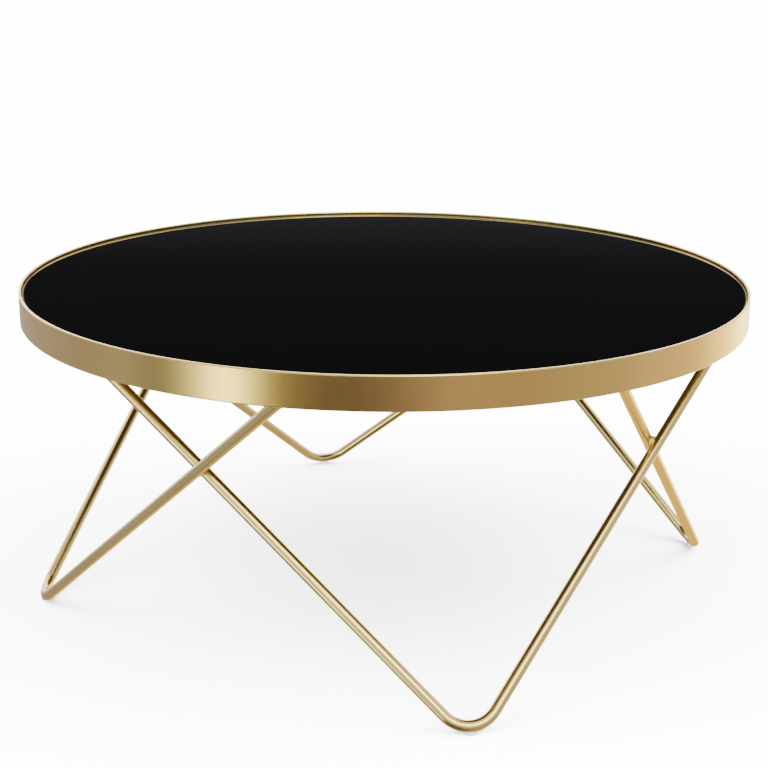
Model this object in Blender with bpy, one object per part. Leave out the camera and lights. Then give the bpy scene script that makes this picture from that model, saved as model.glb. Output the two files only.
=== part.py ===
"""Round coffee table: a black glass top in a gold hoop, on four crossing V-shaped rod legs.

Metres, +Z up.  The origin is on the floor under the middle of the table.  Azimuths are
measured round the table from -Y towards +X, so the front leg's foot is at azimuth 0.
"""

from math import cos, hypot, pi, radians, sin, tan

import bmesh
import bpy
from mathutils import Matrix, Vector
from mathutils.geometry import intersect_line_line

# ---------------------------------------------------------------- driving dimensions

TOUCH_GAP = 0.0003             # left between pieces that rest on each other

# the hoop: a flat steel bar on edge, bent into a ring and welded shut
TABLE_HEIGHT = 0.370
HOOP_DIAMETER = 0.825
HOOP_HEIGHT = 0.035
HOOP_THICKNESS = 0.003
HOOP_EDGE_ROUND = 0.001
RING_SEGMENTS = 128            # round the hoop, the ledge and the glass

# the glass lies loose in the hoop, on clear pads, on a flat ledge
GLASS_BELOW_RIM = 0.0035
GLASS_THICKNESS = 0.006
GLASS_SIDE_PLAY = 0.0015
GLASS_EDGE_ROUND = 0.001
PAD_RADIUS = 0.005
PAD_THICKNESS = 0.0015
PAD_COUNT = 8
LEDGE_WIDTH = 0.046
LEDGE_THICKNESS = 0.004

# the legs: one rod each, bent into a V whose tip is the foot
LEG_NAMES = ("front", "right", "back", "left")
ROD_RADIUS = 0.006
ROD_SIDES = 20
BEND_RADIUS = 0.033            # of the rod's centre line at the foot
BEND_STEPS = 14
CORNER_RADIUS = 0.4138         # where the two arms' centre lines would meet
INNER_END = (radians(-67.2), 0.3838)   # azimuth and radius of the arm that crosses inside
OUTER_END = (radians(65.5), 0.3994)    # and of the arm that crosses outside

# each arm's end is welded to a small tab, and a screw holds the tab up to the ledge
TAB_LENGTH = 0.044
TAB_WIDTH = 0.032
TAB_THICKNESS = 0.005
TAB_CORNER = 0.005
TAB_REACH = 0.009              # the tab's middle beyond the rod's end
SCREW_REACH = 0.021            # the screw beyond the rod's end
HOLE_RADIUS = 0.0029
SCREW_RADIUS = 0.0025
SCREW_HEAD_RADIUS = 0.00475
SCREW_HEAD_HEIGHT = 0.0027
SOCKET_FLAT = 0.003
SOCKET_DEPTH = 0.0016
WASHER_RADIUS = 0.006
WASHER_THICKNESS = 0.001

# a clear glide under each foot, hollowed to fit the rod
GLIDE_RADIUS = 0.0055
GLIDE_HEIGHT = 0.0036
GLIDE_UNDER_ROD = 0.002

WELD_RADIUS = 0.0058           # the bead round the point where two rods touch

# ---------------------------------------------------------------- heights and radii worked out

HOOP_OUTER = HOOP_DIAMETER / 2
HOOP_INNER = HOOP_OUTER - HOOP_THICKNESS
GLASS_RADIUS = HOOP_INNER - GLASS_SIDE_PLAY
GLASS_TOP = TABLE_HEIGHT - GLASS_BELOW_RIM
GLASS_BOTTOM = GLASS_TOP - GLASS_THICKNESS
PAD_TOP = GLASS_BOTTOM - TOUCH_GAP
LEDGE_TOP = PAD_TOP - PAD_THICKNESS - TOUCH_GAP
LEDGE_BOTTOM = LEDGE_TOP - LEDGE_THICKNESS
LEDGE_OUTER = HOOP_INNER - TOUCH_GAP
LEDGE_INNER = LEDGE_OUTER - LEDGE_WIDTH
TAB_TOP = LEDGE_BOTTOM - TOUCH_GAP
TAB_BOTTOM = TAB_TOP - TAB_THICKNESS
TAB_RADIUS = LEDGE_OUTER - 0.001 - TAB_WIDTH / 2
ROD_TOP = TAB_BOTTOM - TOUCH_GAP
WASHER_TOP = TAB_BOTTOM - TOUCH_GAP
HEAD_TOP = WASHER_TOP - WASHER_THICKNESS - TOUCH_GAP
SCREW_LENGTH = LEDGE_TOP - TOUCH_GAP - HEAD_TOP
ROD_UNDERSIDE = GLIDE_UNDER_ROD + TOUCH_GAP


def polar(azimuth, radius, height=0.0):
    """The point at an azimuth, a radius and a height."""
    return Vector((radius * sin(azimuth), -radius * cos(azimuth), height))


# ---------------------------------------------------------------- materials

def material(name, colour, roughness, metallic=0.0, alpha=1.0):
    """A Principled BSDF with one colour and finish."""
    made = bpy.data.materials.new(name)
    made.use_nodes = True
    shader = made.node_tree.nodes["Principled BSDF"]
    shader.inputs["Base Color"].default_value = (*colour, 1.0)
    shader.inputs["Roughness"].default_value = roughness
    shader.inputs["Metallic"].default_value = metallic
    shader.inputs["Alpha"].default_value = alpha
    made.diffuse_color = (*colour, alpha)
    return made


# ---------------------------------------------------------------- shapes

def place(name, mesh, finish, where=Matrix.Identity(4)):
    """Put a mesh in the scene as a named object with its own copy of a finish."""
    piece = bpy.data.objects.new(name, mesh)
    piece.matrix_world = where
    bpy.context.collection.objects.link(piece)
    if not mesh.materials:
        mesh.materials.append(None)
    piece.material_slots[0].link = "OBJECT"
    piece.material_slots[0].material = finish.copy()
    piece.material_slots[0].material.name = name
    return piece


def finished(shape, name, crease=radians(35)):
    """Turn a bmesh into a mesh with outward faces, smooth except at creases."""
    bmesh.ops.remove_doubles(shape, verts=shape.verts, dist=1e-6)
    bmesh.ops.recalc_face_normals(shape, faces=shape.faces)
    mesh = bpy.data.meshes.new(name)
    shape.to_mesh(mesh)
    shape.free()
    mesh.shade_smooth()
    mesh.set_sharp_from_angle(angle=crease)
    return mesh


def loop_of(shape, points):
    """A closed loop of edges through some points."""
    verts = [shape.verts.new(point) for point in points]
    return [shape.edges.new((verts[i - 1], verts[i])) for i in range(len(verts))]


def circle(radius, sides, height=0.0, centre=(0.0, 0.0)):
    """Points evenly round a level circle."""
    turns = [2 * pi * i / sides for i in range(sides)]
    return [(centre[0] + radius * cos(t), centre[1] + radius * sin(t), height) for t in turns]


def lathe(name, profile, segments):
    """Spin a (radius, height) profile round +Z.  A closed one makes a ring."""
    shape = bmesh.new()
    verts = [shape.verts.new((radius, 0.0, height)) for radius, height in profile]
    pairs = list(zip(verts, verts[1:]))
    if profile[0][0] > 0 and profile[-1][0] > 0:
        pairs.append((verts[-1], verts[0]))
    edges = [shape.edges.new(pair) for pair in pairs]
    bmesh.ops.spin(shape, geom=verts + edges, cent=(0, 0, 0), axis=(0, 0, 1),
                   angle=2 * pi, steps=segments, use_merge=True)
    return finished(shape, name)


def rounded_section(inner, outer, low, high, corner, steps=2):
    """The outline of a bar's cross-section with its four corners rounded."""
    outline = []
    centres = ((outer - corner, high - corner), (inner + corner, high - corner),
               (inner + corner, low + corner), (outer - corner, low + corner))
    for quarter, (radius, height) in enumerate(centres):
        for step in range(steps + 1):
            turn = (quarter + step / steps) * pi / 2
            outline.append((radius + corner * cos(turn), height + corner * sin(turn)))
    return outline


def flat_plate(name, loops, thickness):
    """A level plate, inside the first loop of points and outside the others."""
    shape = bmesh.new()
    edges = [edge for points in loops for edge in loop_of(shape, points)]
    filled = bmesh.ops.triangle_fill(shape, use_beauty=True, edges=edges)
    faces = [item for item in filled["geom"] if isinstance(item, bmesh.types.BMFace)]
    raised = bmesh.ops.extrude_face_region(shape, geom=faces)
    upper = [item for item in raised["geom"] if isinstance(item, bmesh.types.BMVert)]
    bmesh.ops.translate(shape, verts=upper, vec=(0, 0, thickness))
    return finished(shape, name)


def swept_rod(name, route, normal, radius):
    """A round rod along a flat route of (point, direction), its ends cut level at ROD_TOP."""
    shape = bmesh.new()
    rings = []
    for index, (point, direction) in enumerate(route):
        across = direction.cross(normal)
        points = []
        for side in range(ROD_SIDES):
            turn = 2 * pi * side / ROD_SIDES
            spot = point + radius * (cos(turn) * normal + sin(turn) * across)
            if index in (0, len(route) - 1):
                spot += direction * (ROD_TOP - spot.z) / direction.z
            points.append(spot)
        rings.append(loop_of(shape, points))
    for lower, upper in zip(rings, rings[1:]):
        bmesh.ops.bridge_loops(shape, edges=lower + upper)
    bmesh.ops.holes_fill(shape, edges=rings[0] + rings[-1], sides=0)
    return finished(shape, name, crease=radians(50))


def carved(blank, cutters):
    """The blank mesh with every cutter mesh taken away from it."""
    body = bpy.data.objects.new("carving", blank)
    helpers = [body]
    for cutter in cutters:
        tool = bpy.data.objects.new("carving_tool", cutter)
        cut = body.modifiers.new("cut", "BOOLEAN")
        cut.operation = "DIFFERENCE"
        cut.solver = "EXACT"
        cut.object = tool
        helpers.append(tool)
    for helper in helpers:
        bpy.context.collection.objects.link(helper)
    bpy.context.view_layer.update()
    evaluated = body.evaluated_get(bpy.context.evaluated_depsgraph_get())
    result = bpy.data.meshes.new_from_object(evaluated)
    for helper in helpers:
        bpy.data.objects.remove(helper)
    return result


# ---------------------------------------------------------------- the V leg's route

def leg_bend(corner):
    """The bend at the foot: its centre, the plane's normal and both arms' directions."""
    inner_arm = (polar(*INNER_END, ROD_TOP) - corner).normalized()
    outer_arm = (polar(*OUTER_END, ROD_TOP) - corner).normalized()
    middle = (inner_arm + outer_arm).normalized()
    half_angle = inner_arm.angle(outer_arm) / 2
    centre = corner + middle * BEND_RADIUS / sin(half_angle)
    normal = inner_arm.cross(outer_arm).normalized()
    return centre, normal, inner_arm, outer_arm, half_angle


def leg_corner():
    """Where the arms' centre lines meet, so high that the bend clears the glide."""
    corner = polar(0, CORNER_RADIUS)
    for _ in range(20):
        centre, normal = leg_bend(corner)[:2]
        underside = centre.z - BEND_RADIUS * hypot(normal.x, normal.y) - ROD_RADIUS
        corner.z += ROD_UNDERSIDE - underside
    return corner


CORNER = leg_corner()
BEND_CENTRE, LEG_NORMAL, INNER_ARM, OUTER_ARM, HALF_ANGLE = leg_bend(CORNER)
DOWN_IN_PLANE = -(Vector((0, 0, 1)) - LEG_NORMAL * LEG_NORMAL.z).normalized()
FOOT = BEND_CENTRE + DOWN_IN_PLANE * BEND_RADIUS      # lowest point of the centre line


def leg_route():
    """Points and directions along the front leg, from the inner end to the outer end."""
    straight = BEND_RADIUS / tan(HALF_ANGLE)
    start = CORNER + INNER_ARM * straight - BEND_CENTRE
    sweep = pi - 2 * HALF_ANGLE
    route = [(polar(*INNER_END, ROD_TOP), -INNER_ARM)]
    for step in range(BEND_STEPS + 1):
        turn = Matrix.Rotation(-sweep * step / BEND_STEPS, 3, LEG_NORMAL)
        route.append((BEND_CENTRE + turn @ start, turn @ -INNER_ARM))
    route.append((polar(*OUTER_END, ROD_TOP), OUTER_ARM))
    return route


# ---------------------------------------------------------------- the pieces

def make_top(gold, glass, clear):
    """The hoop, the ledge with its screw holes, the pads and the glass."""
    section = rounded_section(HOOP_INNER, HOOP_OUTER, TABLE_HEIGHT - HOOP_HEIGHT,
                              TABLE_HEIGHT, HOOP_EDGE_ROUND)
    place("rim_band", lathe("rim_band", section, RING_SEGMENTS), gold)

    loops = [circle(LEDGE_OUTER, RING_SEGMENTS), circle(LEDGE_INNER, RING_SEGMENTS)]
    for _, where in tab_places():
        hole = where @ Vector((SCREW_REACH, 0, 0))
        loops.append(circle(HOLE_RADIUS, 16, centre=hole.xy))
    place("glass_ledge", flat_plate("glass_ledge", loops, LEDGE_THICKNESS), gold,
          Matrix.Translation((0, 0, LEDGE_BOTTOM)))

    pad = lathe("glass_pad", [(0, 0), (PAD_RADIUS, 0), (PAD_RADIUS, PAD_THICKNESS),
                              (0, PAD_THICKNESS)], 20)
    for index in range(PAD_COUNT):
        spot = polar(2 * pi * index / PAD_COUNT, (LEDGE_INNER + LEDGE_OUTER) / 2,
                     PAD_TOP - PAD_THICKNESS)
        place(f"glass_pad_{index + 1}", pad, clear, Matrix.Translation(spot))

    disc = rounded_section(-GLASS_RADIUS, GLASS_RADIUS, GLASS_BOTTOM, GLASS_TOP, GLASS_EDGE_ROUND)
    half = [point for point in disc if point[0] > 0]
    upper, lower = half[:len(half) // 2], half[len(half) // 2:]
    profile = [(0, GLASS_BOTTOM), *lower, *upper, (0, GLASS_TOP)]
    place("glass_top", lathe("glass_top", profile, RING_SEGMENTS), glass)


def tab_places():
    """For each rod end: a name, and a frame at the tab's radius whose +X runs along the tab.

    A tab lies along the hoop and reaches on past the rod's end, the way the rod was going.
    """
    places = []
    for index, leg in enumerate(LEG_NAMES):
        for side, (azimuth, _), onward in (("inner", INNER_END, pi), ("outer", OUTER_END, 0)):
            turned = azimuth + index * pi / 2
            where = (Matrix.Translation(polar(turned, TAB_RADIUS))
                     @ Matrix.Rotation(turned + onward, 4, "Z"))
            places.append((f"{leg}_{side}", where))
    return places


def make_fixings(gold, steel):
    """The tabs on the rods' ends, and the screws and washers that hold them up."""
    corner = TAB_CORNER
    low, high = TAB_REACH - TAB_LENGTH / 2, TAB_REACH + TAB_LENGTH / 2
    outline = rounded_section(low, high, -TAB_WIDTH / 2, TAB_WIDTH / 2, corner)
    plate = [(x, y, 0) for x, y in outline]
    hole = circle(HOLE_RADIUS, 16, centre=(SCREW_REACH, 0))
    tab = flat_plate("leg_tab", [plate, hole], TAB_THICKNESS)
    washer = flat_plate("tab_washer", [circle(WASHER_RADIUS, 20), circle(HOLE_RADIUS, 16)],
                        WASHER_THICKNESS)
    screw = button_screw()
    for name, where in tab_places():
        at_screw = where @ Matrix.Translation((SCREW_REACH, 0, 0))
        place(f"leg_tab_{name}", tab, gold, Matrix.Translation((0, 0, TAB_BOTTOM)) @ where)
        place(f"tab_washer_{name}", washer, steel,
              Matrix.Translation((0, 0, WASHER_TOP - WASHER_THICKNESS)) @ at_screw)
        place(f"tab_screw_{name}", screw, steel, Matrix.Translation((0, 0, HEAD_TOP)) @ at_screw)


def button_screw():
    """A button-head screw, its head's seat at height 0 and its hexagon socket below."""
    segments = 14
    rim = SCREW_HEAD_RADIUS * 0.5
    profile = [(rim, -SCREW_HEAD_HEIGHT)]
    for step in range(1, 4):
        turn = step / 3 * pi / 2
        profile.append((rim + (SCREW_HEAD_RADIUS - rim) * sin(turn),
                        -SCREW_HEAD_HEIGHT * cos(turn) - 0.0004 * sin(turn)))
    profile += [(SCREW_HEAD_RADIUS, 0), (SCREW_RADIUS, 0),
                (SCREW_RADIUS, SCREW_LENGTH - 0.0005), (SCREW_RADIUS - 0.0005, SCREW_LENGTH),
                (0, SCREW_LENGTH)]
    shape = bmesh.new()
    verts = [shape.verts.new((radius, 0, height)) for radius, height in profile]
    edges = [shape.edges.new(pair) for pair in zip(verts, verts[1:])]
    bmesh.ops.spin(shape, geom=verts + edges, cent=(0, 0, 0), axis=(0, 0, 1),
                   angle=2 * pi, steps=segments, use_merge=True)
    bmesh.ops.remove_doubles(shape, verts=shape.verts, dist=1e-6)
    mouth = [edge for edge in shape.edges if edge.is_boundary]
    hexagon = loop_of(shape, circle(SOCKET_FLAT / 2 / cos(pi / 6), 6, -SCREW_HEAD_HEIGHT))
    bmesh.ops.triangle_fill(shape, use_beauty=True, edges=mouth + hexagon)
    walls = bmesh.ops.extrude_edge_only(shape, edges=hexagon)
    floor = [item for item in walls["geom"] if isinstance(item, bmesh.types.BMVert)]
    bmesh.ops.translate(shape, verts=floor, vec=(0, 0, SOCKET_DEPTH))
    bmesh.ops.contextual_create(shape, geom=floor)
    return finished(shape, "tab_screw")


def make_base(gold, clear):
    """The four V legs, the weld beads where they cross, and the glides under the feet."""
    route = leg_route()
    rod = swept_rod("leg", route, LEG_NORMAL, ROD_RADIUS)
    groove = swept_rod("groove", route, LEG_NORMAL, ROD_RADIUS + TOUCH_GAP)
    next_groove = groove.copy()
    next_groove.transform(Matrix.Rotation(pi / 2, 4, "Z"))

    quarter = Matrix.Rotation(pi / 2, 3, "Z")
    own, neighbour = intersect_line_line(CORNER, CORNER + OUTER_ARM, quarter @ CORNER,
                                         quarter @ (CORNER + INNER_ARM))
    print(f"rods {(own - neighbour).length * 1000:.2f} mm apart where they cross")
    bead = bmesh.new()
    bmesh.ops.create_uvsphere(bead, u_segments=14, v_segments=8, radius=WELD_RADIUS,
                              matrix=Matrix.Translation((own + neighbour) / 2))
    weld = carved(finished(bead, "crossing_weld"), [groove, next_groove])

    foot = Matrix.Translation((FOOT.x, FOOT.y, 0))
    blank = lathe("foot_glide", [(0, 0), (GLIDE_RADIUS, 0), (GLIDE_RADIUS, GLIDE_HEIGHT),
                                 (0, GLIDE_HEIGHT)], 24)
    blank.transform(foot)
    glide = carved(blank, [groove])

    for index, leg in enumerate(LEG_NAMES):
        around = Matrix.Rotation(index * pi / 2, 4, "Z")
        following = LEG_NAMES[(index + 1) % len(LEG_NAMES)]
        place(f"leg_{leg}", rod, gold, around)
        place(f"crossing_weld_{leg}_{following}", weld, gold, around)
        place(f"foot_glide_{leg}", glide, clear, around)


def main():
    for old in list(bpy.data.objects):
        bpy.data.objects.remove(old)
    gold = material("satin_gold", (0.62, 0.47, 0.26), 0.32, metallic=1.0)
    glass = material("black_glass", (0.008, 0.008, 0.010), 0.03)
    clear = material("clear_silicone", (0.85, 0.86, 0.85), 0.25, alpha=0.5)
    steel = material("zinc_steel", (0.60, 0.60, 0.58), 0.35, metallic=1.0)
    make_top(gold, glass, clear)
    make_fixings(gold, steel)
    make_base(gold, clear)


main()
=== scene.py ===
# %% [markdown]
# # A round coffee table: gold hoop, black glass, four crossing rod legs
#
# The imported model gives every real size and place. This script dresses it: each visible
# piece is modelled again with finer shapes, and every piece gets a node-based finish.
# Nothing here moves or resizes the design. Units are metres, and +Z is up.

# %% The frame
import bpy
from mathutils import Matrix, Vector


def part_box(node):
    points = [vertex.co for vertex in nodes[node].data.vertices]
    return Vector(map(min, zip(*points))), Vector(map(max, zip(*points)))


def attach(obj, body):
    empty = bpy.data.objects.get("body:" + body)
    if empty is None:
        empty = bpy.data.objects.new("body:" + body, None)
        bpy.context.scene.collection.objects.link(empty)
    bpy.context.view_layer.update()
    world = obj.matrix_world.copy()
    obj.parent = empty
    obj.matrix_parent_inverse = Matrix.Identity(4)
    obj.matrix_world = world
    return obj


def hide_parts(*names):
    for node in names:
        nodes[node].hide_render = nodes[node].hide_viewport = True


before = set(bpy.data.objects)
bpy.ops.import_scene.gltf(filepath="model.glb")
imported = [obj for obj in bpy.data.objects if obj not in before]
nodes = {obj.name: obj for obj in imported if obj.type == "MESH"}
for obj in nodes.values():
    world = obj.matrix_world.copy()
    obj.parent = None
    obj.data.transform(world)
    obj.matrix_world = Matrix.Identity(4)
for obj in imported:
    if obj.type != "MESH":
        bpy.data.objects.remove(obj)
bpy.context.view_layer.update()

# %% Blender's modules, and the names used throughout
from math import atan2, cos, degrees, hypot, pi, radians, sin, tan

import bmesh
import bpy
from mathutils import Matrix, Vector, noise
from mathutils.geometry import intersect_line_line

LEGS = ("front", "right", "back", "left")
SIDES = ("inner", "outer")
QUARTER = pi / 2


def polar(azimuth, radius, height=0.0):
    """A point round the table; azimuth 0 is towards -Y and grows towards +X."""
    return Vector((radius * sin(azimuth), -radius * cos(azimuth), height))


# %% [markdown]
# ## The camera
#
# The view is a little above the table and looks down at it, with the front leg a few
# degrees to the right of the middle. A camera looks along its own -Z, so it is turned
# upright first, then pitched down, then swung round the table.

# %% The camera
CAMERA_AZIMUTH = radians(-12.48)
CAMERA_DISTANCE = 1.7334
CAMERA_HEIGHT = 0.7568
CAMERA_PITCH = radians(16.64)
CAMERA_ROLL = radians(0.37)
CAMERA_LENS = 71.95            # for a sensor 36 mm wide

camera = bpy.data.objects.new("camera", bpy.data.cameras.new("camera"))
camera.data.lens = CAMERA_LENS
camera.data.sensor_width = 36.0
camera.matrix_world = (
    Matrix.Translation(polar(CAMERA_AZIMUTH, CAMERA_DISTANCE, CAMERA_HEIGHT))
    @ Matrix.Rotation(CAMERA_AZIMUTH, 4, "Z")
    @ Matrix.Rotation(pi / 2 - CAMERA_PITCH, 4, "X")
    @ Matrix.Rotation(CAMERA_ROLL, 4, "Z")
)
bpy.context.scene.collection.objects.link(camera)
bpy.context.scene.camera = camera
print(f"camera pitched down {degrees(CAMERA_PITCH):.1f} degrees, lens {CAMERA_LENS} mm")

# %% [markdown]
# ## Shader maths as Python
#
# A node tree is easier to read as a formula. `Value` wraps one output socket, so that
# `0.2 + 0.1 * mask` adds the Math nodes by itself. Everything that isn't plain maths goes
# through one method, `Tree.add`, which sets a node's settings before its sockets.

# %% Values and trees
class Value:
    """An output socket that Python's operators build on."""

    def __init__(self, tree, socket):
        self.tree = tree
        self.socket = socket

    def maths(self, operation, *values):
        return self.tree.add("ShaderNodeMath", {"operation": operation}, values)

    def __add__(self, other):
        return self.maths("ADD", self, other)

    def __radd__(self, other):
        return self.maths("ADD", other, self)

    def __sub__(self, other):
        return self.maths("SUBTRACT", self, other)

    def __rsub__(self, other):
        return self.maths("SUBTRACT", other, self)

    def __mul__(self, other):
        return self.maths("MULTIPLY", self, other)

    def __rmul__(self, other):
        return self.maths("MULTIPLY", other, self)

    def __truediv__(self, other):
        return self.maths("DIVIDE", self, other)

    def __abs__(self):
        return self.maths("ABSOLUTE", self)


class Tree:
    """A node tree, and the one method that adds nodes to it."""

    def __init__(self, node_tree):
        self.nodes = node_tree.nodes
        self.links = node_tree.links

    def add(self, kind, settings=None, inputs=(), output=0):
        """Add a node: settings first, then its sockets' values or links."""
        node = self.nodes.new(kind)
        for name, value in (settings or {}).items():
            if name == "stops":
                self.set_stops(node.color_ramp, value)
            elif name == "interpolation" and kind == "ShaderNodeValToRGB":
                node.color_ramp.interpolation = value
            else:
                setattr(node, name, value)
        pairs = inputs.items() if isinstance(inputs, dict) else enumerate(inputs)
        for key, value in pairs:
            self.feed(node.inputs[key], value)
        return Value(self, node.outputs[output]) if node.outputs else None

    def feed(self, socket, value):
        if isinstance(value, Value):
            self.links.new(value.socket, socket)
        else:
            socket.default_value = value

    def set_stops(self, ramp, stops):
        while len(ramp.elements) < len(stops):
            ramp.elements.new(0.5)
        for element, (position, colour) in zip(ramp.elements, stops):
            element.position = position
            element.color = (*colour, 1.0)

    def smooth_step(self, value, low, high):
        """0 below low, 1 above high, and an even S between them."""
        settings = {"interpolation_type": "SMOOTHSTEP"}
        return self.add("ShaderNodeMapRange", settings,
                        {"Value": value, "From Min": low, "From Max": high})

    def blend(self, factor, first, second):
        """A colour between two."""
        return self.add("ShaderNodeMix", {"data_type": "RGBA"},
                        {"Factor": factor, 6: first, 7: second}, output=2)


class Finish(Tree):
    """A Principled material whose plain numbers are set on its own sockets."""

    def __init__(self, name, **constants):
        self.material = bpy.data.materials.new(name)
        self.material.use_nodes = True
        super().__init__(self.material.node_tree)
        self.shader = self.nodes["Principled BSDF"]
        for socket, value in constants.items():
            self.shader.inputs[socket.replace("_", " ")].default_value = value

    def place(self, centre=(0, 0, 0), turn=(0, 0, 0), scale=(1, 1, 1)):
        """Object coordinates, centred and turned on a piece."""
        coordinates = self.add("ShaderNodeTexCoord", output="Object")
        return self.add("ShaderNodeMapping", {"vector_type": "TEXTURE"},
                        {"Vector": coordinates, "Location": centre, "Rotation": turn,
                         "Scale": scale})

    def noise(self, where, scale, detail=3.0, roughness=0.5):
        return self.add("ShaderNodeTexNoise", None,
                        {"Vector": where, "Scale": scale, "Detail": detail,
                         "Roughness": roughness})

    def bump(self, height, distance, strength=1.0, before=None):
        inputs = {"Height": height, "Distance": distance, "Strength": strength}
        if before is not None:
            inputs["Normal"] = before
        return self.add("ShaderNodeBump", None, inputs)

    def wear(self, **sockets):
        """Link what changes over the surface to the shader."""
        for socket, value in sockets.items():
            self.feed(self.shader.inputs[socket.replace("_", " ")], value)
        return self.material


# %% [markdown]
# ## The gold finish
#
# The hoop and the rods are steel with a satin, champagne-gold coating. A metal has no
# colour of its own beyond its tinted mirror, so the look is in the roughness: soft enough
# to blur the room, tight enough to keep a bright line down a rod. A real coating is never
# even, so the tint and the gloss drift slowly, and a faint orange-peel ripple bends the
# highlight.

# %% Gold
GOLD = (0.82, 0.55, 0.21, 1.0)
CHAMPAGNE = (0.80, 0.58, 0.26, 1.0)
# A paler gold for the edges, partly rubbed coating and partly a painted highlight along them.
RUBBED_AND_HIGHLIT = (0.93, 0.78, 0.52, 1.0)
PALER_EDGE_WIDTH = 0.0012             # how far the paler edge band reaches from an edge: rubbed coating and a painted edge highlight
PEEL_DEPTH = 0.000006
GRAIN_DEPTH = 0.0000015


def gold_finish(name, tint, roughness, edges=None, skin=1.0):
    """Satin gold. edges is a (low, high) pair of heights where the coating is painted paler:
    rubbed coating and a painted edge highlight.
    """
    gold = Finish(name, Metallic=1.0, IOR=1.5)
    where = gold.place()
    drift = gold.noise(where, 9.0, 2.0)
    cloud = gold.noise(where, 60.0, 4.0, 0.6)
    grain = gold.noise(where, 2600.0, 2.0)
    peel = gold.noise(where, 330.0, 1.0)
    deeper = tuple(0.94 * channel for channel in tint[:2]) + (0.86 * tint[2], 1.0)
    colour = gold.blend(gold.smooth_step(drift, 0.35, 0.65), tint, deeper)
    gloss = roughness + 0.05 * (cloud - 0.5) + 0.03 * (drift - 0.5) + 0.04 * (grain - 0.5)
    if edges is not None:
        height = gold.add("ShaderNodeSeparateXYZ", None, [where], output="Z")
        low, high = edges
        # Near the top and bottom edges the tint turns paler and glossier: rubbed coating, and a
        # painted edge highlight.
        rubbed_and_highlit = (1 - gold.smooth_step(height, low, low + PALER_EDGE_WIDTH)) \
            + gold.smooth_step(height, high - PALER_EDGE_WIDTH, high)
        rubbed_and_highlit = rubbed_and_highlit * gold.smooth_step(cloud, 0.2, 0.7)
        colour = gold.blend(0.45 * rubbed_and_highlit, colour, RUBBED_AND_HIGHLIT)
        gloss = gloss - 0.05 * rubbed_and_highlit
    surface = gold.bump(peel, PEEL_DEPTH, skin, before=gold.bump(grain, GRAIN_DEPTH, skin))
    return gold.wear(Base_Color=colour, Roughness=gloss, Normal=surface)


# %% [markdown]
# ## The black glass
#
# The top is float glass with a black back. From above it is a mirror that only shows what
# stands beyond it: nearly no light enters, so its base colour is close to black, and the
# surface keeps a trace of wiping that shows only where something bright is reflected.
# Underneath, the lacquered back is duller and a shade browner.

# %% Black glass
BLACK = (0.002, 0.002, 0.0024, 1)
DUST = (0.10, 0.10, 0.10, 1)
LACQUER = (0.055, 0.045, 0.034, 1)
LACQUER_GLOSS = 0.34


def glass_finish(name, bottom):
    """Black glass; its underside, at the height bottom, is lacquered and duller."""
    glass = Finish(name, IOR=1.52)
    where = glass.place()
    height = glass.add("ShaderNodeSeparateXYZ", None, [where], output="Z")
    upper = glass.smooth_step(height, bottom + 0.0002, bottom + 0.0012)
    wiped = glass.noise(glass.place(turn=(0, 0, 0.4), scale=(1, 0.25, 1)), 14.0, 3.0, 0.55)
    dust = glass.noise(where, 900.0, 1.0)
    specks = glass.smooth_step(dust, 0.74, 0.80) * glass.smooth_step(wiped, 0.4, 0.7)
    polished = 0.012 + 0.022 * glass.smooth_step(wiped, 0.45, 0.75) + 0.05 * specks
    gloss = LACQUER_GLOSS + upper * (polished - LACQUER_GLOSS)
    colour = glass.blend(0.12 * specks, BLACK, DUST)
    colour = glass.blend(upper, LACQUER, colour)
    return glass.wear(Base_Color=colour, Roughness=gloss)


# %% [markdown]
# ## The small finishes
#
# The zinc plating on the screws and washers shows a fine spangle, one patch of crystals
# beside another. The pads and the glides are clear silicone, a little milky, and tacky
# enough to hold dust.

# %% Zinc and clear silicone
def zinc_finish(name):
    zinc = Finish(name, Metallic=1.0)
    where = zinc.place()
    spangle = zinc.add("ShaderNodeTexVoronoi", None, {"Vector": where, "Scale": 900.0},
                       output="Color")
    grey = zinc.add("ShaderNodeSeparateColor", None, [spangle])
    scratches = zinc.noise(where, 2600.0, 3.0)
    tint = zinc.blend(grey, (0.50, 0.50, 0.48, 1), (0.64, 0.65, 0.66, 1))
    return zinc.wear(Base_Color=tint, Roughness=0.26 + 0.14 * grey + 0.10 * scratches,
                     Normal=zinc.bump(scratches, 0.00001, 0.7))


def silicone_finish(name):
    clear = Finish(name, IOR=1.43)
    where = clear.place()
    milk = clear.noise(where, 500.0, 2.0)
    dust = clear.smooth_step(clear.noise(where, 1600.0, 2.0), 0.62, 0.75)
    tint = clear.blend(milk, (0.74, 0.76, 0.75, 1), (0.88, 0.89, 0.87, 1))
    tint = clear.blend(0.4 * dust, tint, (0.45, 0.43, 0.40, 1))
    return clear.wear(Base_Color=tint, Roughness=0.18 + 0.14 * milk + 0.3 * dust,
                      Alpha=0.42 + 0.2 * milk + 0.2 * dust)


# %% [markdown]
# ## Turning, rounding and placing
#
# Most pieces are round, so most start as an outline spun about an axis. A spun outline has
# sharp edges, and a real one never does: `soften` bevels the edges that a test picks out.

# %% Helpers that make a piece
SHARP_ANGLE = radians(30)
SHADING_ANGLE = radians(40)
MERGE = 1e-6                   # points closer than this are one point


def held(outline, grip, closed):
    """Add a point on each side of every corner, so that the flats beside it stay flat."""
    points = []
    for index, corner in enumerate(outline):
        here = Vector(corner)
        if closed or 0 < index < len(outline) - 1:
            before = Vector(outline[index - 1])
            after = Vector(outline[(index + 1) % len(outline)])
            points.append(here + (before - here).normalized() * grip)
            points.append(here)
            points.append(here + (after - here).normalized() * grip)
        else:
            points.append(here)
    return points


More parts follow.
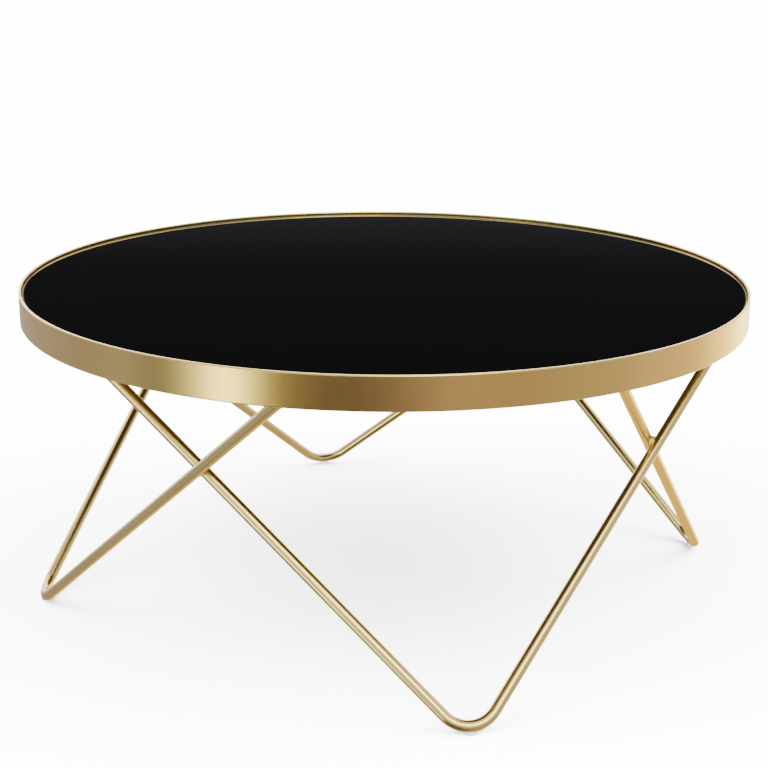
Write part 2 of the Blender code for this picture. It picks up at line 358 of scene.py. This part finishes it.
def turned(outline, steps):
    """Spin a (radius, height) outline about +Z. Points on the axis become poles."""
    shape = bmesh.new()
    verts = [shape.verts.new((radius, 0, height)) for radius, height in outline]
    pairs = list(zip(verts, verts[1:]))
    if outline[0][0] > 0 and outline[-1][0] > 0:
        pairs.append((verts[-1], verts[0]))
    edges = [shape.edges.new(pair) for pair in pairs]
    bmesh.ops.spin(shape, geom=verts + edges, cent=(0, 0, 0), axis=(0, 0, 1),
                   angle=2 * pi, steps=steps, use_merge=True)
    bmesh.ops.remove_doubles(shape, verts=shape.verts, dist=MERGE)
    bmesh.ops.recalc_face_normals(shape, faces=shape.faces)
    return shape


def soften(shape, width, segments, chosen):
    """Round the edges that a test picks out."""
    edges = [edge for edge in shape.edges if chosen(edge)]
    bmesh.ops.bevel(shape, geom=edges, offset=width, segments=segments, profile=0.5,
                    affect="EDGES", material=-1)
    return shape


def sharp(edge):
    """True for an edge where two faces meet at more than a slight angle."""
    return len(edge.link_faces) == 2 and edge.calc_face_angle(0) > SHARP_ANGLE


pieces = []                    # everything that piece() makes, in order


def piece(name, shape, material, body, node=None, where=Matrix.Identity(4)):
    """Make the object, with its place in its mesh, and tell the frame what it is."""
    shape.transform(where)
    bmesh.ops.recalc_face_normals(shape, faces=shape.faces)
    mesh = bpy.data.meshes.new(name)
    shape.to_mesh(mesh)
    shape.free()
    mesh.shade_smooth()
    mesh.set_sharp_from_angle(angle=SHADING_ANGLE)
    mesh.materials.append(material)
    made = bpy.data.objects.new(name, mesh)
    bpy.context.scene.collection.objects.link(made)
    weighted = made.modifiers.new("flat faces stay flat", "WEIGHTED_NORMAL")
    weighted.keep_sharp = True
    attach(made, body)
    if node:
        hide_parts(node)
    pieces.append(made)
    return made


# %% [markdown]
# ## The hoop
#
# A flat steel bar, 35 mm by 3 mm, is rolled on its flat into a ring. Its section is spun once
# round the table, and the four long edges are rounded over, which makes the thin bright line along
# the rim; the finish adds a painted highlight there too, a paler band at the top and bottom edges
# that also stands for rubbed coating.

# %% The hoop
ROUND_STEPS = 720              # enough for a smooth rim; the glass uses it too
HOOP_THICKNESS = 0.003
HOOP_EASE = 0.0014             # nearly half the bar's thickness
HOOP_HOLD = 0.00146            # from a corner to the loops that keep its flats flat
hoop_low, hoop_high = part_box("rim_band")
hoop_outer = hoop_high.x
hoop_inner = hoop_outer - HOOP_THICKNESS
section = [(hoop_inner, hoop_low.z), (hoop_outer, hoop_low.z),
           (hoop_outer, hoop_high.z), (hoop_inner, hoop_high.z)]
hoop_shape = soften(turned(held(section, HOOP_HOLD, True), ROUND_STEPS), HOOP_EASE, 5, sharp)
# Its finish paints a paler band at the top and bottom edges: rubbed coating and a painted edge
# highlight.
hoop = piece("hoop", hoop_shape,
             gold_finish("satin gold, hoop", GOLD, 0.23, edges=(hoop_low.z, hoop_high.z)),
             "root", "rim_band")
print(f"hoop {2 * hoop_outer:.3f} m across, {hoop_high.z - hoop_low.z:.3f} m high,",
      len(hoop.data.polygons), "faces")

# %% [markdown]
# ## The glass top
#
# The disc lies loose, so it is a body of its own and lifts out of the hoop. Its two edges
# are ground to a small polished arris, and the upper one catches a hairline of light.

# %% The glass top
GLASS_ARRIS = 0.0009
GLASS_HOLD = 0.0012
glass_low, glass_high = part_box("glass_top")
disc = [(0, glass_low.z), (glass_high.x, glass_low.z), (glass_high.x, glass_high.z),
        (0, glass_high.z)]
glass_shape = turned(held(disc, GLASS_HOLD, False), ROUND_STEPS)
soften(glass_shape, GLASS_ARRIS, 3, sharp)
glass = piece("glass_disc", glass_shape, glass_finish("black glass", glass_low.z),
              "glass", "glass_top")
print(f"glass {2 * glass_high.x:.3f} m across, {1000 * (glass_high.z - glass_low.z):.0f} mm thick")

# %% [markdown]
# ## The V legs
#
# Each leg is one rod with one bend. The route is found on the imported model: where the two
# ends meet their tabs, and how low the bend comes. A circle is then extruded down the
# first arm, spun round the bend, and extruded up the second arm. The ends run on a little
# and are cut level, as a saw would.

# %% The leg's route, measured on the frame
ROD_SIDES = 56
BEND_RADIUS = 0.033
BEND_STEPS = 48
CORNER_RADIUS = 0.4138         # from the table's axis to the corner the bend rounds off
SETTLING_ROUNDS = 20           # tries at the corner's height; each lands closer
ROD_RADIUS = 0.006
leg_low, leg_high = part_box("leg_front")


def rod_end(side):
    """The middle of a rod's level end: -1 is the inner arm, 1 the outer one."""
    ring = [v.co for v in nodes["leg_front"].data.vertices
            if v.co.z > leg_high.z - 1e-5 and v.co.x * side > 0]
    corners = [(min(c), max(c)) for c in zip(*ring)]
    return Vector([(low + high) / 2 for low, high in corners])


inner_end, outer_end = rod_end(-1), rod_end(1)
corner = polar(0, CORNER_RADIUS)
for _ in range(SETTLING_ROUNDS):
    inner_arm = (inner_end - corner).normalized()
    outer_arm = (outer_end - corner).normalized()
    half_angle = inner_arm.angle(outer_arm) / 2
    bend_centre = corner + (inner_arm + outer_arm).normalized() * BEND_RADIUS / sin(half_angle)
    leg_normal = inner_arm.cross(outer_arm).normalized()
    underside = bend_centre.z - BEND_RADIUS * hypot(leg_normal.x, leg_normal.y) - ROD_RADIUS
    corner.z += leg_low.z - underside
print(f"the arms meet at {2 * degrees(half_angle):.1f} degrees")

# %% The legs
END_ALLOWANCE = 0.02


def rod_to_level(shape, edges, direction, length):
    """Extrude a ring of edges and return the new ring."""
    made = bmesh.ops.extrude_edge_only(shape, edges=edges)["geom"]
    verts = [item for item in made if isinstance(item, bmesh.types.BMVert)]
    bmesh.ops.translate(shape, verts=verts, vec=direction * length)
    return [item for item in made if isinstance(item, bmesh.types.BMEdge)
            and item.verts[0] in verts and item.verts[1] in verts]


def v_leg(radius=ROD_RADIUS):
    """The front leg: down the inner arm, round the bend and up the outer arm."""
    straight = BEND_RADIUS / tan(half_angle)
    start = inner_end + inner_arm * END_ALLOWANCE
    facing = (-inner_arm).to_track_quat("Z", "Y").to_matrix().to_4x4()
    shape = bmesh.new()
    bmesh.ops.create_circle(shape, segments=ROD_SIDES, radius=radius,
                            matrix=Matrix.Translation(start) @ facing)
    length = (start - corner).length - straight
    ring = rod_to_level(shape, list(shape.edges), -inner_arm, length)
    verts = list({vert for edge in ring for vert in edge.verts})
    spun = bmesh.ops.spin(shape, geom=verts + ring, cent=bend_centre, axis=leg_normal,
                          angle=-(pi - 2 * half_angle), steps=BEND_STEPS, use_merge=False)
    ring = [item for item in spun["geom_last"] if isinstance(item, bmesh.types.BMEdge)]
    length = (outer_end - corner).length + END_ALLOWANCE - straight
    rod_to_level(shape, ring, outer_arm, length)
    bmesh.ops.remove_doubles(shape, verts=shape.verts, dist=MERGE)
    everything = shape.verts[:] + shape.edges[:] + shape.faces[:]
    bmesh.ops.bisect_plane(shape, geom=everything, plane_co=(0, 0, leg_high.z),
                           plane_no=(0, 0, 1), clear_outer=True)
    bmesh.ops.holes_fill(shape, edges=[edge for edge in shape.edges if edge.is_boundary])
    return shape


leg_gold = gold_finish("satin gold, legs", CHAMPAGNE, 0.24)
for index, leg in enumerate(LEGS):
    around = Matrix.Rotation(index * QUARTER, 4, "Z")
    made = piece(f"v_leg_{leg}", v_leg(), leg_gold, "root", f"leg_{leg}", around)
print("a leg has", len(made.data.polygons), "faces")

# %% [markdown]
# ## Where the legs cross
#
# Each leg's outer arm passes outside its neighbour's inner arm and touches it, and a weld
# joins them there. The bead is a flattened ball that fills the narrow gap between two
# crossing rods, with the uneven skin that a weld has after it is brushed and coated.

# %% The weld beads
BEAD_SPREAD = 0.0068
BEAD_HEIGHT = 0.0036
BEAD_RIPPLE = 0.0004

turn_one = Matrix.Rotation(QUARTER, 3, "Z")
on_outer, on_inner = intersect_line_line(corner, corner + outer_arm, turn_one @ corner,
                                         turn_one @ (corner + inner_arm))
touch = (on_outer + on_inner) / 2
print(f"rods {1000 * (on_outer - on_inner).length:.2f} mm apart where they cross")


def weld_bead(seed):
    """A lumpy lens between the two rods."""
    shape = bmesh.new()
    bmesh.ops.create_uvsphere(shape, u_segments=48, v_segments=24, radius=1.0)
    for vert in shape.verts:
        lump = noise.noise(vert.co * 2.2 + Vector((seed * 7.0, 0, 0)))
        vert.co *= 1 + lump * BEAD_RIPPLE / BEAD_HEIGHT
    facing = (on_outer - on_inner).to_track_quat("Z", "Y").to_matrix().to_4x4()
    size = Matrix.Diagonal((BEAD_SPREAD, BEAD_SPREAD, BEAD_HEIGHT, 1))
    shape.transform(Matrix.Translation(touch) @ facing @ size)
    return shape


weld_gold = gold_finish("satin gold, welds", CHAMPAGNE, 0.28, skin=3.0)
for index, leg in enumerate(LEGS):
    following = LEGS[(index + 1) % 4]
    around = Matrix.Rotation(index * QUARTER, 4, "Z")
    piece(f"weld_bead_{leg}_{following}", weld_bead(index), weld_gold, "root",
          f"crossing_weld_{leg}_{following}", around)

# %% [markdown]
# ## The ledge
#
# A flat ring inside the hoop carries the glass and gives the legs something to screw to.
# It would be cut from 4 mm sheet, holes and all, so it is made the same way: the outlines
# of the ring and of its eight holes are filled as one flat face, and the face is pulled up
# to its thickness.

# %% A flat plate with holes
def plate(circles, thickness, outline=None):
    """Fill the loops as a flat plate. circles are (centre, radius, segments) rings."""
    shape = bmesh.new()
    if outline:
        verts = [shape.verts.new(point) for point in outline]
        for pair in zip(verts, verts[1:] + verts[:1]):
            shape.edges.new(pair)
    for centre, radius, segments in circles:
        bmesh.ops.create_circle(shape, segments=segments, radius=radius,
                                matrix=Matrix.Translation(centre))
    bmesh.ops.triangle_fill(shape, use_beauty=True, edges=shape.edges[:])
    bmesh.ops.dissolve_limit(shape, angle_limit=radians(1), verts=shape.verts[:],
                             edges=shape.edges[:], delimit={"NORMAL"})
    made = bmesh.ops.extrude_face_region(shape, geom=shape.faces[:])["geom"]
    lifted = [item for item in made if isinstance(item, bmesh.types.BMVert)]
    bmesh.ops.translate(shape, verts=lifted, vec=(0, 0, thickness))
    return shape


def middle_of(node):
    low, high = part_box(node)
    return (low + high) / 2


# %% The ledge
LEDGE_WIDTH = 0.046
HOLE_RADIUS = 0.0029
EDGE_BREAK = 0.0003

ledge_low, ledge_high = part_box("glass_ledge")
rings = [(Vector(), ledge_high.x, 256), (Vector(), ledge_high.x - LEDGE_WIDTH, 256)]
for leg in LEGS:
    for side in SIDES:
        middle = middle_of(f"tab_screw_{leg}_{side}")
        rings.append((Vector((middle.x, middle.y, 0)), HOLE_RADIUS, 32))
ledge_shape = plate(rings, ledge_high.z - ledge_low.z)
soften(ledge_shape, EDGE_BREAK, 2, sharp)
under_gold = gold_finish("satin gold, fixings", CHAMPAGNE, 0.30, skin=2.0)
ledge = piece("ledge", ledge_shape, under_gold, "root", "glass_ledge",
              Matrix.Translation((0, 0, ledge_low.z)))
print("the ledge has", len(ledge.data.polygons), "faces")

# %% [markdown]
# ## The pads
#
# Eight clear domes keep the glass off the metal. A moulded dome is a turned shape: a short
# straight foot, a round shoulder, and a small flat where the glass has settled.

# %% The pads
PAD_COUNT = 8
PAD_FOOT = 0.25                # share of the height that is straight
PAD_FLAT = 0.45                # share of the radius that is flat on top
SHOULDER_STEPS = 8
silicone = silicone_finish("clear silicone")
for index in range(PAD_COUNT):
    node = f"glass_pad_{index + 1}"
    pad_low, pad_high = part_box(node)
    radius, height = (pad_high.x - pad_low.x) / 2, pad_high.z - pad_low.z
    profile = [(0, 0), (radius, 0), (radius, PAD_FOOT * height)]
    for step in range(1, SHOULDER_STEPS + 1):
        shoulder = step / SHOULDER_STEPS * QUARTER
        profile.append((radius * (PAD_FLAT + (1 - PAD_FLAT) * cos(shoulder)),
                        height * (PAD_FOOT + (1 - PAD_FOOT) * sin(shoulder))))
    profile.append((0, height))
    spot = middle_of(node)
    piece(f"pad_{index + 1}", turned(profile, 40), silicone, "root", node,
          Matrix.Translation((spot.x, spot.y, pad_low.z)))

# %% [markdown]
# ## The tabs, and the welds that hold them
#
# Each rod ends in a flat tab with rounded corners, and a screw through the tab holds it up
# to the ledge. A ring of weld runs round the rod's end where it meets the tab. The rod
# comes in at a slant, so its end is an ellipse, and the ring is stretched to match.

# %% Tabs
TAB_LENGTH = 0.044
TAB_WIDTH = 0.032
TAB_CORNER = 0.005
CORNER_STEPS = 6


def tab_outline():
    """A rectangle with round corners, as points round its edge."""
    points = []
    for quarter in range(4):
        turn = Matrix.Rotation(quarter * QUARTER, 2)
        ahead = (TAB_LENGTH, TAB_WIDTH)[quarter % 2] / 2 - TAB_CORNER
        aside = (TAB_WIDTH, TAB_LENGTH)[quarter % 2] / 2 - TAB_CORNER
        for step in range(CORNER_STEPS + 1):
            angle = step / CORNER_STEPS * QUARTER
            corner_point = Vector((ahead + TAB_CORNER * cos(angle),
                                   aside + TAB_CORNER * sin(angle)))
            points.append((*(turn @ corner_point), 0))
    return points


for leg in LEGS:
    for side in SIDES:
        node = f"leg_tab_{leg}_{side}"
        tab_low, tab_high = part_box(node)
        middle = middle_of(node)
        along = middle_of(f"tab_screw_{leg}_{side}") - middle
        along.z = 0
        around = Matrix.Translation((middle.x, middle.y, tab_low.z)) \
            @ Matrix.Rotation(atan2(along.y, along.x), 4, "Z")
        shape = plate([(Vector((along.length, 0, 0)), HOLE_RADIUS, 32)],
                      tab_high.z - tab_low.z, tab_outline())
        soften(shape, EDGE_BREAK, 2, sharp)
        piece(f"tab_{leg}_{side}", shape, under_gold, "root", node, around)
print(f"tabs {1000 * TAB_LENGTH:.0f} mm long, screwed up {1000 * along.length:.0f} mm past",
      "their middles")

# %% Weld rings round the rod ends
RING_BEAD = 0.0013
RING_REACH = 0.0004            # from the rod's skin to the bead's middle
RING_SUNK = 0.0004             # from the rod's end down to the bead's middle
RING_RIPPLE = 0.0003
RING_SWELL = 0.03


def weld_ring(arm, end, seed):
    """A lumpy ring round a slanting rod's level end."""
    shape = bmesh.new()
    bmesh.ops.create_circle(shape, segments=12, radius=RING_BEAD,
                            matrix=Matrix.Translation((ROD_RADIUS + RING_REACH, 0, 0))
                            @ Matrix.Rotation(QUARTER, 4, "X"))
    bmesh.ops.spin(shape, geom=shape.verts[:] + shape.edges[:], cent=(0, 0, 0),
                   axis=(0, 0, 1), angle=2 * pi, steps=72, use_merge=True)
    bmesh.ops.remove_doubles(shape, verts=shape.verts, dist=MERGE)
    for vert in shape.verts:
        lump = noise.noise(vert.co * 700 + Vector((seed * 5.0, 0, 0)))
        vert.co.z += RING_RIPPLE * lump
        vert.co.xy *= 1 + RING_SWELL * lump
    stretch = Matrix.Diagonal((1 / arm.z, 1, 1, 1))
    slant = Matrix.Rotation(atan2(arm.y, arm.x), 4, "Z")
    shape.transform(Matrix.Translation(end - Vector((0, 0, RING_SUNK))) @ slant @ stretch)
    return shape


for index, leg in enumerate(LEGS):
    around = Matrix.Rotation(index * QUARTER, 4, "Z")
    for side, arm, end in zip(SIDES, (inner_arm, outer_arm), (inner_end, outer_end)):
        piece(f"weld_ring_{leg}_{side}", weld_ring(arm, end, index + 0.5 * arm.x), weld_gold,
              "root", where=around)

# %% [markdown]
# ## Screws and washers
#
# A button-head screw is turned, then its hexagon socket is pressed. Here the head is spun
# from its outline, the six sides of the socket are pushed up into it, and the shank has
# turned grooves that stand for its thread.

# %% Screws
HEAD_RADIUS = 0.00475
HEAD_HEIGHT = 0.0027
SHANK_RADIUS = 0.0025
SOCKET_MOUTH = 0.0024          # the flat that the socket is pressed into
SOCKET_CORNER = 0.0015 / cos(pi / 6)
SOCKET_DEPTH = 0.0016
BRIM = 0.0004
BRIM_EASE = 0.0001
THREAD_PITCH = 0.0008
THREAD_DEPTH = 0.0004
THREAD_START = 0.0015
CROWN_STEPS = 8
WASHER_RADIUS = 0.006
WASHER_EASE = 0.00015


def button_screw(length):
    """The head hangs below height 0, its seat, and the shank stands above it."""
    outline = [(SOCKET_MOUTH, -HEAD_HEIGHT)]
    for step in range(1, CROWN_STEPS + 1):
        turn = step / CROWN_STEPS * QUARTER
        outline.append((SOCKET_MOUTH + (HEAD_RADIUS - SOCKET_MOUTH) * sin(turn),
                        -BRIM - (HEAD_HEIGHT - BRIM) * cos(turn)))
    outline += [(HEAD_RADIUS, -BRIM_EASE), (HEAD_RADIUS - BRIM_EASE, 0), (SHANK_RADIUS, 0)]
    turns = int((length - 0.002) / THREAD_PITCH)
    for turn in range(turns):
        base = THREAD_START + turn * THREAD_PITCH
        outline += [(SHANK_RADIUS - THREAD_DEPTH, base), (SHANK_RADIUS, base + THREAD_PITCH / 2)]
    outline += [(SHANK_RADIUS - 0.0005, length), (0, length)]
    shape = bmesh.new()
    verts = [shape.verts.new((radius, 0, height)) for radius, height in outline]
    edges = [shape.edges.new(pair) for pair in zip(verts, verts[1:])]
    bmesh.ops.spin(shape, geom=verts + edges, cent=(0, 0, 0), axis=(0, 0, 1),
                   angle=2 * pi, steps=36, use_merge=True)
    bmesh.ops.remove_doubles(shape, verts=shape.verts, dist=MERGE)
    mouth = [edge for edge in shape.edges if edge.is_boundary]
    hexagon = bmesh.ops.create_circle(shape, segments=6, radius=SOCKET_CORNER,
                                      matrix=Matrix.Translation((0, 0, -HEAD_HEIGHT)))["verts"]
    sides = [edge for edge in shape.edges
             if edge.verts[0] in hexagon and edge.verts[1] in hexagon]
    bmesh.ops.triangle_fill(shape, use_beauty=True, edges=mouth + sides)
    inside = [face for face in shape.faces if all(vert in hexagon for vert in face.verts)]
    bmesh.ops.delete(shape, geom=inside, context="FACES_ONLY")
    walls = bmesh.ops.extrude_edge_only(shape, edges=sides)["geom"]
    deep = [item for item in walls if isinstance(item, bmesh.types.BMVert)]
    bmesh.ops.translate(shape, verts=deep, vec=(0, 0, SOCKET_DEPTH))
    bmesh.ops.contextual_create(shape, geom=deep)
    return shape


zinc = zinc_finish("zinc plating")
for leg in LEGS:
    for side in SIDES:
        screw_low, screw_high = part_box(f"tab_screw_{leg}_{side}")
        spot = middle_of(f"tab_screw_{leg}_{side}")
        seat = screw_low.z + HEAD_HEIGHT
        piece(f"screw_{leg}_{side}", button_screw(screw_high.z - seat), zinc, "root",
              f"tab_screw_{leg}_{side}",
              Matrix.Translation((spot.x, spot.y, seat)))
        washer_low, washer_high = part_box(f"tab_washer_{leg}_{side}")
        thickness = washer_high.z - washer_low.z
        flat = [(HOLE_RADIUS, 0), (WASHER_RADIUS, 0), (WASHER_RADIUS, thickness),
                (HOLE_RADIUS, thickness)]
        washer = soften(turned(flat, 48), WASHER_EASE, 2, sharp)
        piece(f"washer_{leg}_{side}", washer, zinc, "root",
              f"tab_washer_{leg}_{side}", Matrix.Translation((spot.x, spot.y, washer_low.z)))
print(f"screw head {2000 * HEAD_RADIUS:.1f} mm across under a {1000 * HEAD_HEIGHT:.1f} mm button")

# %% [markdown]
# ## The glides
#
# A clear glide under each foot keeps the steel off the floor. It is a turned button with a
# round groove moulded to the rod, so it is spun first, and a slightly fatter rod is then
# subtracted from it.

# %% The glides
ROD_GAP = 0.0003
GLIDE_EASE = 0.0006
GLIDE_HOLD = 0.0008


def stand_in(name, shape):
    """A throwaway object for a Boolean."""
    bmesh.ops.recalc_face_normals(shape, faces=shape.faces)
    mesh = bpy.data.meshes.new(name)
    shape.to_mesh(mesh)
    shape.free()
    made = bpy.data.objects.new(name, mesh)
    bpy.context.scene.collection.objects.link(made)
    return made


glide_low, glide_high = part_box("foot_glide_front")
glide_radius = (glide_high.x - glide_low.x) / 2
button = [(0, 0), (glide_radius, 0), (glide_radius, glide_high.z), (0, glide_high.z)]
button_shape = soften(turned(held(button, GLIDE_HOLD, False), 96), GLIDE_EASE, 4, sharp)
spot = middle_of("foot_glide_front")
button_shape.transform(Matrix.Translation((spot.x, spot.y, 0)))
blank = stand_in("glide_blank", button_shape)
groove = stand_in("glide_groove", v_leg(ROD_RADIUS + ROD_GAP))
cut = blank.modifiers.new("groove", "BOOLEAN")
cut.operation = "DIFFERENCE"
cut.solver = "EXACT"
cut.object = groove
moulded = blank.evaluated_get(bpy.context.evaluated_depsgraph_get()).to_mesh()
for index, leg in enumerate(LEGS):
    shape = bmesh.new()
    shape.from_mesh(moulded)
    piece(f"glide_{leg}", shape, silicone, "root", f"foot_glide_{leg}",
          Matrix.Rotation(index * QUARTER, 4, "Z"))
for used in (blank, groove):
    bpy.data.objects.remove(used)
print(f"glides {2000 * glide_radius:.0f} mm across")

# %% [markdown]
# ## The room
#
# Metal shows the room, so the room is designed as carefully as the table. Its light is
# painted by direction: the bearing round the table, and the elevation above the horizon.
# The light comes in two layers. What lies low, and a dim belt above it, is the world, and
# everything mirrors it. The bright walls and lamps are a separate dome that is kept off
# the glass with light linking, as a studio keeps lamps off glass with black flags. So the
# metal glows, and the upper face of the glass stays black whichever side it is seen from.

# %% Painting light by direction
DEGREE = pi / 180


class Room(Tree):
    """A node tree that knows the bearing and the elevation of each direction."""

    def __init__(self, node_tree, direction):
        super().__init__(node_tree)
        coordinates = self.add("ShaderNodeTexCoord", output=direction)
        turned_room = self.add("ShaderNodeMapping", {"vector_type": "TEXTURE"},
                               {"Vector": coordinates, "Rotation": (0, 0, CAMERA_AZIMUTH)})
        self.direction = self.add("ShaderNodeVectorMath", {"operation": "NORMALIZE"},
                                  [turned_room])
        x, y, z = [self.add("ShaderNodeSeparateXYZ", None, [self.direction], output=axis)
                   for axis in "XYZ"]
        self.bearing = x.maths("ARCTAN2", x, -1 * y) / DEGREE
        self.elevation = z.maths("ARCSINE", z) / DEGREE

    def ring(self, *stops):
        """A colour for every bearing; 0 is the camera's side and + is to its right."""
        places = [(angle / 360 + 0.5, colour) for angle, colour in stops]
        return self.add("ShaderNodeValToRGB", {"interpolation": "EASE", "stops": places},
                        [self.bearing / 360 + 0.5])

    def above(self, low, high):
        """0 under one elevation and 1 over another."""
        return self.smooth_step(self.elevation, low, high)

    def patch(self, angle, height, inner, outer):
        """A round patch: 1 within inner degrees of its middle, 0 past outer."""
        middle = polar(angle * DEGREE, cos(height * DEGREE), sin(height * DEGREE))
        near = self.add("ShaderNodeVectorMath", {"operation": "DOT_PRODUCT"},
                        {0: self.direction, 1: middle}, output="Value")
        return self.smooth_step(near, cos(outer * DEGREE), cos(inner * DEGREE))


# %% The world: the ground's light, and a dim belt above it
HORIZON = (-9, 2)              # elevations between which the ground gives way to the walls
world = bpy.data.worlds.new("studio")
world.use_nodes = True
bpy.context.scene.world = world
room = Room(world.node_tree, "Generated")
ground = room.blend(room.patch(-20, -50, 14, 40), (0.54, 0.53, 0.47, 1),
                    (0.15, 0.14, 0.12, 1))
ground = room.blend(room.patch(145, -44, 24, 54), ground, (1.4, 1.0, 0.22, 1))
low = room.ring(
    (-180, (0.75, 0.70, 0.55)), (-140, (0.55, 0.52, 0.50)), (-103, (0.46, 0.47, 0.55)),
    (-84, (0.56, 0.58, 0.62)), (-69, (0.20, 0.21, 0.28)), (-57, (0.8, 0.9, 0.8)),
    (-47, (8.0, 9.0, 4.8)), (-39, (0.9, 0.8, 0.6)), (-31, (0.14, 0.11, 0.11)),
    (-6, (0.15, 0.12, 0.13)), (8, (0.34, 0.28, 0.28)), (20, (0.62, 0.53, 0.46)),
    (40, (0.58, 0.50, 0.42)), (66, (0.68, 0.66, 0.54)), (92, (0.95, 0.84, 0.60)),
    (108, (1.2, 1.05, 0.60)), (128, (3.0, 2.6, 1.0)), (146, (6.0, 5.6, 2.4)),
    (165, (2.0, 1.8, 1.0)), (180, (0.75, 0.70, 0.55)))
light = room.blend(room.above(-36, -24), ground, low)
light = room.blend(room.above(*HORIZON), light, (0.070, 0.070, 0.080, 1))
light = room.blend(room.above(9.5, 12.5), light, (0.030, 0.0295, 0.030, 1))
light = room.blend(room.patch(40, 58, 8, 30), light, (0.40, 0.41, 0.42, 1))
seen = room.add("ShaderNodeLightPath", output="Is Camera Ray")
background = world.node_tree.nodes["Background"]
room.feed(background.inputs["Color"], room.blend(seen, light, (16.0, 16.0, 16.0, 1)))

# %% The dome: bright walls and the key light, for everything but the glass
bpy.ops.mesh.primitive_uv_sphere_add(segments=48, ring_count=24, radius=40)
dome = bpy.context.object
dome.name = "studio_dome"
dome.visible_camera = False
dome.visible_shadow = False
glow_material = bpy.data.materials.new("studio dome")
glow_material.use_nodes = True
glow_material.cycles.emission_sampling = "NONE"
glow_material.node_tree.nodes.clear()
dome.data.materials.append(glow_material)
room = Room(glow_material.node_tree, "Object")
wall = room.ring(
    (-180, (3.4, 3.4, 3.0)), (-130, (3.2, 3.3, 3.0)), (-105, (0.35, 0.40, 0.48)),
    (-60, (0.75, 0.88, 1.0)), (-46, (2.4, 2.8, 2.1)), (-34, (1.2, 1.4, 1.4)),
    (0, (1.1, 1.3, 1.3)), (60, (0.75, 0.88, 0.95)), (95, (0.70, 0.76, 0.75)),
    (120, (1.2, 1.2, 1.0)), (150, (3.0, 3.0, 2.6)), (180, (3.4, 3.4, 3.0)))
upper = room.blend(room.smooth_step(abs(room.bearing), 80, 120), (0.10, 0.09, 0.075, 1),
                   (3.4, 3.4, 3.0, 1))
upper = room.blend(room.above(62, 78), upper, (2.6, 2.5, 1.9, 1))
glow = room.blend(room.above(*HORIZON), (0, 0, 0, 1), wall)
glow = room.blend(room.above(24, 42), glow, upper)
glow = room.blend(room.patch(18, 42, 20, 44), glow, (1.0, 1.05, 0.8, 1))
glow = room.blend(room.patch(18, 43, 9, 18), glow, (9.0, 9.6, 5.4, 1))
shining = room.add("ShaderNodeEmission", None, {"Color": glow})
both = room.add("ShaderNodeAddShader", None,
                [shining, room.add("ShaderNodeBsdfTransparent")])
room.add("ShaderNodeOutputMaterial", None, {"Surface": both})

off_the_glass = bpy.data.collections.new("off the glass")
for made in pieces:
    if made != glass:
        off_the_glass.objects.link(made)
dome.light_linking.receiver_collection = off_the_glass

# %% [markdown]
# ## The floor
#
# A product stands on a white sweep that is lit on its own, so that it is clean white and
# the shadow stays faint. Light linking does the same here: three wide suns reach only the
# floor. The metal doesn't mirror the floor, because the world already holds its share.

# %% The floor and its own light
bpy.ops.mesh.primitive_plane_add(size=60)
floor = bpy.context.object
floor.name = "floor"
paper = Finish("pale floor", Roughness=0.9, Base_Color=(0.90, 0.90, 0.90, 1))
floor.data.materials.append(paper.material)
floor.visible_glossy = False
floor.visible_diffuse = False
floor.visible_shadow = False
floor_only = bpy.data.collections.new("floor only")
floor_only.objects.link(floor)


def wide_sun(name, azimuth, height, strength, spread):
    """A sun for the floor alone; its wide spread makes the shadow soft."""
    sun = bpy.data.objects.new(name, bpy.data.lights.new(name, "SUN"))
    sun.data.energy = strength
    sun.data.angle = radians(spread)
    towards = polar(radians(azimuth), cos(radians(height)), sin(radians(height)))
    sun.matrix_world = towards.to_track_quat("Z", "Y").to_matrix().to_4x4()
    sun.light_linking.receiver_collection = floor_only
    bpy.context.scene.collection.objects.link(sun)


wide_sun("sun_overhead", 0, 90, 24, 110)
wide_sun("sun_left", -75, 38, 26, 60)
wide_sun("sun_right", 70, 38, 26, 60)
